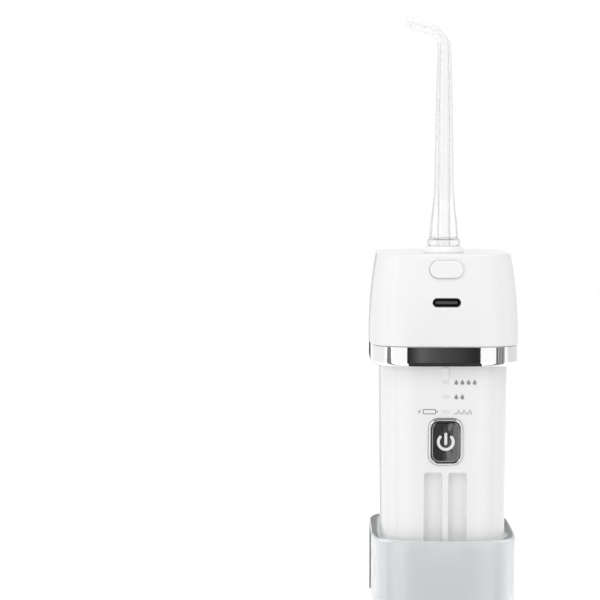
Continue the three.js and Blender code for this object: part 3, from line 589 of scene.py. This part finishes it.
# ---- power button ----
CAP_WIDTH, CAP_HEIGHT, CAP_DISH = 8.8 * MM, 12.8 * MM, 0.06 * MM


def make_bezel():
    """A half-round ring on a thin ledge, with a skirt down into the handle."""
    back, seat, skirt = -1.4 * MM, 0.05 * MM, 0.65 * MM
    ledge, ring_half, ring_height = 0.16 * MM, 0.46 * MM, 0.65 * MM
    levels = [(back, skirt), (seat, skirt), (seat, 0), (ledge, 0)]
    for a in angles(0, math.pi, 14):
        levels.append((ledge + ring_height * math.sin(a), ledge + ring_half * (1 - math.cos(a))))
    levels.append((back, ledge + 2 * ring_half))
    rings = plate_rings(11.2 * MM, 15.2 * MM, 3.4 * MM, levels, on_handle, (0, BUTTON_Z))
    finish_piece(skin("button_frame", rings, loop=True), "handle", "chrome", CHROME, "power_button_bezel")


def make_button():
    front = -on_handle(0, BUTTON_Z, 0)[1]
    proud = -BUTTON_LOW.y - front
    cap = raised("button_cap", CAP_WIDTH, CAP_HEIGHT, corner=2.4 * MM, back=-1.0 * MM, front=proud,
                 edge=0.3 * MM, place=on_handle, centre=(0, BUTTON_Z), dish=CAP_DISH)
    stem_r, stem_front = 1.6 * MM, 0.8 * MM - front
    stem = skin("tool", [
        [(stem_r * math.cos(a), y, BUTTON_Z + stem_r * math.sin(a)) for a in full_turn(32)]
        for y in (stem_front, BUTTON_HIGH.y)
    ])
    carve(cap, "UNION", stem)
    finish_piece(cap, "power_button", "dark_chrome", SMOKED, "power_button_cap")

    def on_cap(x, z, depth):
        hollow = CAP_DISH * (1 - (2 * x / CAP_WIDTH) ** 2)
        return on_handle(x, z, proud - hollow + depth)

    arc_r, gap, stroke, thick = 2.37 * MM, math.radians(48), 0.9 * MM, 0.05 * MM
    turns = np.linspace(gap, 2 * math.pi - gap, 48)
    arc = [(arc_r * math.sin(a), BUTTON_Z + arc_r * math.cos(a)) for a in turns]
    bar = [(0, BUTTON_Z + up * MM) for up in (-0.55, 1.0, 2.55)]
    for name, line in (("power_symbol_arc", arc), ("power_symbol_bar", bar)):
        finish_piece(ribbon(name, line, stroke, thick, on_cap), "power_button", "white_plastic", SYMBOL)


def make_release_button():
    back = on_head(0, RELEASE_Z, 0)[1] - RELEASE_HIGH.y
    button = raised("nozzle_button", *RELEASE_SIZE, corner=RELEASE_SIZE[1] / 2, back=back, front=0.85 * MM,
                    edge=0.5 * MM, place=on_head, centre=(0, RELEASE_Z), dish=0.1 * MM)
    finish_piece(button, "release", "white_plastic", WHITE, "release_button")


# ---- charge port ----
def make_port():
    surface = -on_head(0, PORT_Z, 0)[1]
    back = -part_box("usb_socket")[1].y - surface
    wall, socket_floor = 0.42 * MM, back + 0.8 * MM
    levels = [(back, 0.0), (-0.5 * MM, 0.0)]
    levels += [(depth * MM, inset * MM) for depth, inset in ((-0.25, 0.06), (-0.2, 0.15), (-0.25, 0.3))]
    levels += [(-0.7 * MM, wall), (socket_floor, wall)]
    liner = skin("port_liner", plate_rings(8.9 * MM, 2.8 * MM, 1.4 * MM, levels, on_head, (0, PORT_Z)))
    finish_piece(liner, "handle", "black_plastic", BLACK, "usb_socket")
    tongue_back = -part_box("usb_tongue")[1].y - surface
    tongue = raised("port_tongue", 7.2 * MM, 1.1 * MM, corner=0.5 * MM, back=tongue_back, front=-0.9 * MM,
                    edge=0.15 * MM, place=on_head, centre=(0, PORT_Z))
    finish_piece(tongue, "handle", "black_plastic", TONGUE, "usb_tongue")


# ---- indicators and icons ----
def make_windows():
    """The light guide: a bar behind the wall, with a prong that fills each window."""
    guide_low, guide_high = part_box("light_guide")
    back = -guide_high.y + on_handle(0, LAMPS[1], 0)[1]
    bar = raised("window_lenses", 3.2 * MM, guide_high.z - guide_low.z, corner=0.4 * MM, back=back,
                 front=back + 1.1 * MM, edge=0.1 * MM, place=on_handle, centre=(0, middle_z("light_guide")))
    clearance = 0.03 * MM
    width, height = (size - clearance for size in WINDOW)
    prongs = [
        raised("tool", width, height, corner=0.42 * MM, back=back + 0.5 * MM, front=0.0, edge=0.04 * MM,
               place=on_handle, centre=(0, z))
        for z in LAMPS
    ]
    carve(bar, "UNION", *prongs)
    finish_piece(bar, "handle", "clear_plastic", LENS, "light_guide")


def printed(name, outline):
    """A thin print on the handle, from an outline of (x, z) points."""
    return skin(name, [[on_handle(x, z, depth) for x, z in outline] for depth in (PRINT_BACK, PRINT_FRONT)])


def drop(name, x, z, height):
    """A drop, point up: a circle whose upper half is narrowed and drawn up."""
    radius = height * 0.36
    narrowing = 0.55
    outline = []
    for a in full_turn(32):
        rise = max(0, math.sin(a))
        across = radius * math.cos(a) * (1 - narrowing * rise ** 2)
        outline.append((x + across, z + radius * math.sin(a) + rise ** 3 * (height - 2 * radius)))
    return printed(name, outline)


def make_icons():
    height, stroke = 1.7 * MM, 0.3 * MM
    first_drop, drop_pitch = 3.3 * MM, 1.95 * MM
    icons = []
    for row, (z, count) in enumerate(zip(LAMPS[:2], (4, 2)), start=1):
        for i in range(count):
            x = first_drop + drop_pitch * i
            icons.append(drop(f"icon_drop_{row}_{i + 1}", x, z - 0.2 * MM, height))
    lamp = LAMPS[2]

    peak, foot = 1.4, lamp - 0.7 * MM
    pulse = [(2.8, 0)]
    for x in (3.6, 5.4, 7.2):
        pulse += [(x, 0), (x + 0.4, peak), (x + 1.0, 0)]
    line = [(x * MM, foot + z * MM) for x, z in pulse]
    icons.append(ribbon("icon_pulse", line, stroke, PRINT_FRONT, on_handle))

    levels = [(PRINT_BACK, 0), (PRINT_FRONT, 0), (PRINT_FRONT, stroke), (PRINT_BACK, stroke)]
    body = plate_rings(4.2 * MM, height, 0.4 * MM, levels, on_handle, (-5.2 * MM, lamp))
    icons.append(skin("icon_battery", body, loop=True))
    tip = [(-2.75 * MM, lamp + up * MM) for up in (-0.3, 0, 0.3)]
    icons.append(ribbon("icon_battery_tip", tip, stroke, PRINT_FRONT, on_handle))
    bolt = [(0.5, 0.85), (-0.55, -0.1), (-0.05, -0.1), (-0.5, -0.85), (0.55, 0.15), (0.05, 0.15)]
    icons.append(printed("icon_bolt", [((x - 8.4) * MM, lamp + z * MM) for x, z in bolt]))
    for icon in icons:
        finish_piece(icon, "handle", "black_plastic", PRINT)


# ---- dial and nozzle ----
def make_dial():
    low, base, top = DIAL_LOW.z, HEAD_HIGH.z + 0.05 * MM, DIAL_HIGH.z
    bore, sleeve = 3.1, 4.3
    profile = [
        (bore, low), (sleeve, low), (sleeve, base), (6.58, base), (6.6, base + 0.03 * MM),
        (6.42, base + 0.6 * MM), (6.1, base + 1.5 * MM), (5.75, top - 0.12 * MM), (5.55, top),
        (3.3, top), (bore, top - 0.2 * MM),
    ]
    dial = skin("nozzle_dial", [circle(r * MM, z) for r, z in profile], loop=True)
    groove = ((5, 2.5), (5, 4.1), (3.75, 4.1), (3.75, 2.5))
    carve(dial, "DIFFERENCE", skin("tool", [circle(r * MM, low + z * MM) for r, z in groove], loop=True))
    # the dial wears the brighter copy of the white plastic, painted light against the collar's shade
    finish_piece(dial, "dial", "white_plastic", DIAL_WHITE_PAINTED_BRIGHTER, "rotation_dial")


BEND_R = 7.5 * MM
BEND = math.radians(76)
BEND_Z = NOZZLE_HIGH.z - 11.2 * MM
TIP_STRAIGHT = 7 * MM
TIP = BEND * BEND_R + TIP_STRAIGHT  # the tip's distance past the bend's start


def nozzle_point(distance):
    """A point on the nozzle's centre line and the line's direction, at a distance past the bend's start."""
    if distance <= 0:
        return Vector((0, AXIS_Y, BEND_Z + distance)), Vector((0, 0, 1))
    turn = min(distance / BEND_R, BEND)
    point = Vector((-BEND_R * (1 - math.cos(turn)), AXIS_Y, BEND_Z + BEND_R * math.sin(turn)))
    ahead = Vector((-math.sin(turn), 0, math.cos(turn)))
    return point + ahead * max(0, distance - BEND * BEND_R), ahead


def section(radius, distance):
    """A ring round the nozzle's centre line, with its radius in mm."""
    centre, ahead = nozzle_point(distance)
    side = Vector((0, 1, 0)) * radius * MM
    across = ahead.cross(side)
    return [tuple(centre + side * math.sin(a) - across * math.cos(a)) for a in full_turn(64)]


def make_nozzle():
    """Up the outside from the stem in its socket, round the tip, and back down the bore."""
    stem = NOZZLE_LOW.z
    collar = DIAL_HIGH.z + 0.12 * MM
    base = collar + 2.1 * MM
    rings = []

    def along(start, *profile):
        """Adds rings at (radius, height) in mm, from a starting height."""
        rings.extend(section(radius, start + height * MM - BEND_Z) for radius, height in profile)

    def at_tip(*profile):
        """Adds rings at (radius, distance) in mm, from the end of the tip."""
        rings.extend(section(radius, TIP + distance * MM) for radius, distance in profile)

    along(stem, (2.6, 0), (2.8, 0.2), (2.8, 1.4), (2.3, 1.4), (2.3, 2.8), (2.8, 2.8))
    along(collar, (2.8, 0), (5.1, 0), (5.3, 0.15), (5.35, 0.4))
    along(base, (5.35, -0.5), (5.2, -0.15), (4.95, 0), (4.72, 0.05), (4.66, 0.3))
    heights = (1.2, 2.5, 4, 5.5, 7, 9, 11, 12.9, 16.8, 20, 24.6, 32.4, 40, 48, 54)
    radii = (4.6, 4.5, 4.36, 4.22, 4.05, 3.78, 3.55, 3.4, 3.2, 3.12, 3.05, 2.95, 2.8, 2.6, 2.42)
    along(base, *zip(radii, heights))
    bend_r, taper = 2.2, 0.35
    rings += [section(bend_r - taper * share, TIP * share) for share in np.linspace(0, 0.86, 24)]
    at_tip((1.85, -2.0), (1.5, -1.85), (1.3, -1.6), (1.25, -0.1), (1.15, 0))
    bore_r, widening, jet_length = 1.05, 0.15, 4.5
    at_tip((0.45, 0), (0.5, -3.0), (bore_r, -jet_length))
    left = TIP - jet_length * MM
    rings += [section(bore_r + widening * share, left * (1 - share)) for share in np.linspace(0.15, 1, 14)]
    along(base, (1.5, 46), (1.6, 30), (1.6, 0))
    along(stem, (1.6, 0))
    finish_piece(skin("jet_nozzle", rings, loop=True), "nozzle", "clear_plastic", CLEAR, "nozzle")


# ---- spring behind the release button ----
def make_spring():
    low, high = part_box("release_spring")
    turns, steps, wire_r = 5, 160, 0.2 * MM
    coil_r = (high.x - low.x) / 2 - wire_r
    middle = ((low.x + high.x) / 2, (low.z + high.z) / 2)
    length = high.y - low.y - 2 * wire_r
    rings = []
    for i in range(steps + 1):
        a = 2 * math.pi * turns * i / steps
        outward = Vector((math.cos(a), 0, math.sin(a)))
        centre = Vector((middle[0], low.y + wire_r + length * i / steps, middle[1])) + outward * coil_r
        wire = [outward * math.cos(b) + Vector((0, math.sin(b), 0)) for b in full_turn(10)]
        rings.append([tuple(centre + direction * wire_r) for direction in wire])
    spring = skin("button_spring", rings)
    finish_piece(spring, "handle", "steel", STEEL, "release_spring")
    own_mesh(spring)


# ---- bottom of the handle ----
def make_end_cap():
    low, high = END_LOW.z, END_HIGH.z
    side = handle_inset(low)
    spigot, bore = side + HANDLE_WALL + 0.3 * MM, side + HANDLE_WALL + 2.1 * MM
    levels = [
        (low, side + 1.2 * MM), (low + 0.35 * MM, side + 0.35 * MM), (low + 1.2 * MM, side),
        (low + 2 * MM, side), (low + 2 * MM, spigot), (high, spigot), (high, bore), (low + 3 * MM, bore),
    ]
    cap = skin("end_cap", [ring(HANDLE_HALF, z, inset) for z, inset in levels])
    through, above = -1 * MM, 12 * MM
    tube_r, head_r, shank_r, head_depth = 4.4 * MM, 2.3 * MM, 1.2 * MM, 1.8 * MM
    tools = [skin("tool", [circle(tube_r, low + z, centre=SUCTION, count=48) for z in (through, above)])]
    for i in (1, 2, 3):
        screw_low, screw_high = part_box(f"end_cap_screw_{i}")
        where = ((screw_low.x + screw_high.x) / 2, (screw_low.y + screw_high.y) / 2)
        hole = ((head_r, through), (head_r, head_depth), (shank_r, head_depth), (shank_r, above))
        tools.append(skin("tool", [circle(r, low + z, centre=where, count=32) for r, z in hole]))
    carve(cap, "DIFFERENCE", *tools)
    finish_piece(cap, "handle", "white_plastic", WHITE, "handle_end_cap")


def make_seal():
    """A ring with two lips that wipe the tank's wall, as (inset, height) in mm."""
    half = (SEAL_HIGH.x, SEAL_HIGH.y)
    lips = (
        (0.25, 0), (0.05, 0.15), (0.0, 0.45), (0.35, 0.75),
        (0.8, 1.1), (0.5, 1.35), (0.15, 1.6), (0.25, 1.85),
    )
    rings = [ring(half, SEAL_LOW.z + height * MM, inset * MM) for inset, height in lips]
    bore = 4.2 * MM
    rings += [ring(half, SEAL_HIGH.z, 1.1 * MM), ring(half, SEAL_HIGH.z, bore), ring(half, SEAL_LOW.z, bore)]
    finish_piece(skin("tank_gasket", rings, loop=True), "handle", "silicone", GREY_SILICONE, "tank_seal")


# ---- tank ----
KNUCKLE_R, PIN_HOLE_R, PIN_REACH = 1.3 * MM, 0.75 * MM, 9 * MM


def rod_x(radius, x0, x1, count=32):
    """A rod along X on the fill door's hinge axis."""
    around = [(HINGE[0] + radius * math.cos(a), HINGE[1] + radius * math.sin(a)) for a in full_turn(count)]
    return skin("tool", [[(x, y, z) for y, z in around] for x in (x0, x1)])


def block(x, y, z, corner=0.3 * MM):
    """A block between (low, high) pairs of x, y and z, with its edges along Y rounded."""
    def place(across, up, depth):
        return (across, depth, up)

    levels = [(y[0], corner), (y[0] + corner, 0), (y[1] - corner, 0), (y[1], corner)]
    centre = ((x[0] + x[1]) / 2, (z[0] + z[1]) / 2)
    return skin("tool", plate_rings(x[1] - x[0], z[1] - z[0], 2 * corner, levels, place, centre))


def tank_rings():
    """Up the outside from the foot, over the rim, and down the inside to the floor."""
    bottom, top = TANK_LOW.z, TANK_HIGH.z
    foot, rim, fillet, floor = 2.2 * MM, 0.7 * MM, 1.5 * MM, 2.2 * MM
    lip = tuple(half + 0.4 * MM for half in HANDLE_HALF)
    levels = []
    for a in angles(0, math.pi / 2, 6):
        levels.append((TANK_HALF, bottom + foot * (1 - math.cos(a)), foot * (1 - math.sin(a))))
    levels += [(TANK_HALF, z, 0) for z in np.linspace(bottom + foot, top - rim, 24)[1:]]
    levels += [(TANK_HALF, top + up, inset) for inset, up in quarter(rim, 5)[1:]]
    for down, inset in ((0, -0.5), (0.15, -0.15), (0.5, 0), (2.6, 0)):
        levels.append((lip, top - down * MM, inset * MM))
    levels.append((TANK_HALF, top - 4.2 * MM, TANK_WALL))
    for a in angles(0, math.pi / 2, 5):
        z = bottom + floor + fillet * (1 - math.sin(a))
        levels.append((TANK_HALF, z, TANK_WALL + fillet * (1 - math.cos(a))))
    return [ring(half, z, inset) for half, z, inset in levels]


def make_tank():
    tank = skin("tank_cup", tank_rings())
    front, back, top = -TANK_HALF[1], TANK_HALF[1], TANK_HIGH.z
    hole = opening(16 * MM, 12.4 * MM, corner=5 * MM, depth=CUT_DEPTH, lip=0.2 * MM,
                   place=on_tank_back, centre=(0, DOOR_Z + 0.1 * MM))
    passage = block((-6.4 * MM, 6.4 * MM), (front + TANK_WALL, -20 * MM), (top - 5 * MM, top + 1 * MM))
    stop_top = top - 34 * MM
    joins = []
    for side in (-1, 1):
        across = sorted((side * 1.45 * MM, side * 6.3 * MM))
        joins.append(block(across, (front + 1 * MM, -23.3 * MM), (stop_top - 3 * MM, stop_top)))
        across = sorted((side * 5.4 * MM, side * 8.2 * MM))
        joins.append(rod_x(KNUCKLE_R, *across))
        web = (HINGE[1] - 1.25 * MM, HINGE[1] + 1.25 * MM)
        joins.append(block(across, (back - 0.8 * MM, HINGE[0]), web, 0.1 * MM))
    carve(tank, "DIFFERENCE", hole, passage)
    carve(tank, "UNION", *joins)
    carve(tank, "DIFFERENCE", rod_x(PIN_HOLE_R, -PIN_REACH, PIN_REACH))
    finish_piece(tank, "tank", "tank_plastic", MILKY, "tank_shell")


def make_base_pad():
    half = (PAD_HIGH.x, PAD_HIGH.y)
    edge = 0.25 * MM
    levels = [(PAD_LOW.z, edge), (PAD_LOW.z + 0.08 * MM, 0.08 * MM), (PAD_LOW.z + edge, 0), (PAD_HIGH.z, 0)]
    pad = skin("foot_pad", [ring(half, z, inset) for z, inset in levels])
    finish_piece(pad, "tank", "silicone", GREY_SILICONE, "base_pad")


def make_fill_door():
    back = TANK_HALF[1]

    def plate(name, width, height, corner, rear, front, edge, above):
        """A rounded plate on the back of the tank, in mm, centred at a height above the door's middle."""
        sizes = (size * MM for size in (width, height, corner, rear, front, edge))
        return raised(name, *sizes, on_tank_back, (0, DOOR_Z + above * MM))

    lid = plate("fill_door", 20, 17, 5.5, 0.3, 1.7, 0.6, above=0)
    tab = plate("tool", 8, 4, 1.5, 0.35, 1.3, 0.4, above=9)
    arm_y, arm_z = (back + 0.3 * MM, back + 1.5 * MM), (HINGE[1] - 0.2 * MM, DOOR_Z - 6.5 * MM)
    arm = block((-4.6 * MM, 4.6 * MM), arm_y, arm_z, 0.15 * MM)
    grip = plate("tool", 6, 1.0, 0.5, -0.2, 1.9, 0.4, above=4.5)
    carve(lid, "UNION", tab, arm, rod_x(KNUCKLE_R, -5 * MM, 5 * MM), grip)
    carve(lid, "DIFFERENCE", rod_x(PIN_HOLE_R, -PIN_REACH, PIN_REACH))
    finish_piece(lid, "fill_door", "white_plastic", WHITE, "fill_door_lid")

    low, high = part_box("fill_door_plug")
    plug = raised("door_plug", high.x - low.x, high.z - low.z, corner=4.6 * MM, back=low.y - back,
                  front=high.y - back, edge=0.3 * MM, place=on_tank_back, centre=(0, DOOR_Z))
    finish_piece(plug, "fill_door", "silicone", GREY_SILICONE, "fill_door_plug")


def make_suction_tube():
    low, high, bore = TUBE_LOW.z, TUBE_HIGH.z, 1.9
    profile = (
        (bore, low), (2.7, low), (2.9, low + 0.2 * MM), (2.9, high - 0.4 * MM), (2.6, high), (bore, high),
    )
    tube = skin("pickup_tube", [circle(r * MM, z, centre=SUCTION, count=48) for r, z in profile], loop=True)
    finish_piece(tube, "tank", "clear_plastic", CLEAR, "suction_tube")


# ---- stage ----
def make_floor():
    floor = skin("floor", [circle(3.0, z, centre=(0, 0), count=128) for z in (-0.01, 0)])
    paint = moulded("floor_paint", (0.93, 0.93, 0.93), (0.95, 0.95, 0.95), 0.6,
                    Emission_Color=(1, 1, 1, 1), Emission_Strength=0.12)
    floor.data.materials.append(paint)


def make_card(name, azimuth, profile, level, pattern, rays="glossy"):
    """A card that shows only in reflections, or only through clear plastic: a strip of (distance, height,
    half width), at an azimuth from the front, whose level follows a pattern."""
    a = math.radians(azimuth)
    right = Vector((math.cos(a), math.sin(a), 0))
    out = Vector((math.sin(a), -math.cos(a), 0))
    points = []
    for distance, height, half in profile:
        middle = out * distance + Vector((0, 0, height))
        points += [middle - right * half, middle + right * half]
    card = mesh_object(name, points, [(i, i + 1, i + 3, i + 2) for i in range(0, len(points) - 2, 2)])
    made = Surface(name + "_paint", Base_Color=(0, 0, 0, 1), Roughness=1.0, Specular_IOR_Level=0.0)
    made.shader.inputs["Emission Color"].default_value = (1, 1, 1, 1)
    made.vary("Emission Strength", pattern(made), *level)
    card.data.materials.append(made.material)
    card.visible_camera = False
    card.visible_diffuse = False
    card.visible_shadow = False
    card.visible_glossy = rays == "glossy"
    card.visible_transmission = rays == "transmission"


def make_light(name, azimuth, elevation, size, power):
    """A soft light that faces the flosser."""
    distance, centre_z = 1.1, 0.15
    a, e = math.radians(azimuth), math.radians(elevation)
    out = Vector((math.sin(a) * math.cos(e), -math.cos(a) * math.cos(e), math.sin(e)))
    data = bpy.data.lights.new(name, "AREA")
    data.shape = "RECTANGLE"
    data.size, data.size_y = size
    data.energy = power
    light = bpy.data.objects.new(name, data)
    light.location = out * distance + Vector((0, 0, centre_z))
    light.rotation_euler = (-out).to_track_quat("-Z", "Y").to_euler()
    light.visible_camera = False
    scene.collection.objects.link(light)


def spot(paint):
    """A soft light patch on the card that the middle of the band reflects."""
    return paint.glow((-1.5 * MM, -0.3, SEAM_Z - 29 * MM), 50 * MM)


def stripes(paint):
    return paint.noise(0.02, 2, stretch=(1, 1, 0.02))


def fine_stripes(paint):
    return paint.noise(0.6, 2, stretch=(1, 1, 0.02))


def make_lights():
    scene.view_settings.view_transform = "Standard"
    world = bpy.data.worlds.new("studio")
    world.use_nodes = True
    background = world.node_tree.nodes["Background"]
    background.inputs["Color"].default_value = (1, 1, 1, 1)
    background.inputs["Strength"].default_value = 1.0
    scene.world = world
    make_light("left_softbox", -50, 15, (0.5, 0.8), 1.6)
    make_light("front_softbox", 10, 58, (0.6, 0.4), 2.2)


def make_dark_cards():
    """They give the band its black block, down to its rounded edge, and the button's cap its two halves."""
    far, wide = 0.3, 55.5 * MM
    upright = [(far, 0.2, wide), (far, 0.02, wide)]
    shelf = [
        (far, BAND_Z - 56 * MM, wide),
        (0.06, BAND_Z - 3 * MM, 15.5 * MM),
        (0.0265, BAND_Z - 1 * MM, 11.6 * MM),
    ]
    make_card("front_card", 0.85, upright, (0.026, 0.13), spot)
    make_card("shelf_card", -0.6, shelf, (0.026, 0.05), stripes)
    near, half = 0.07, 4.3 * MM
    cap = [(near, BUTTON_Z - 0.5 * MM, half), (near, BUTTON_Z - 18 * MM, half)]
    make_card("cap_left_card", -0.8, cap, (-0.08, 0.42), fine_stripes)
    make_card("cap_right_card", 6.4, cap, (0.24, 0.56), fine_stripes)
    make_card("back_card", 180, upright, (0.026, 0.13), stripes)


def make_side_cards():
    """They give the band its stripes, and run on along the floor for its rounded lower edge."""
    for name, azimuth, half, near, level in (
        ("left_card", -51.5, 0.155, 10 * MM, (0.1, 0.35)),
        ("right_card", 47.5, 0.26, 16 * MM, (-0.8, 1.35)),
    ):
        make_card(name, azimuth, [(1.0, 0.5, half), (1.0, 0.01, half), (0.06, 0.01, near)], level, stripes)
    backdrop = [(1.0, 1.0, 0.9), (1.0, 0.02, 0.9)]
    make_card("far_left_card", -115, backdrop, (0.92, 1.0), stripes)
    make_card("far_right_card", 120, backdrop, (0.76, 0.84), stripes)


def make_flags():
    """They give clear plastic its edge lines."""
    for name, azimuth in (("left_flag", -115), ("right_flag", 115)):
        profile = [(0.8, 0.6, 0.26), (0.8, 0.02, 0.26)]
        make_card(name, azimuth, profile, (0.7, 0.8), stripes, rays="transmission")


make_floor()
make_lights()
make_dark_cards()
make_side_cards()
make_flags()
make_head()
make_band()
make_handle()
make_bezel()
make_button()
make_release_button()
make_port()
make_windows()
make_icons()
make_dial()
make_nozzle()
make_spring()
make_end_cap()
make_seal()
make_tank()
make_base_pad()
make_fill_door()
make_suction_tube()
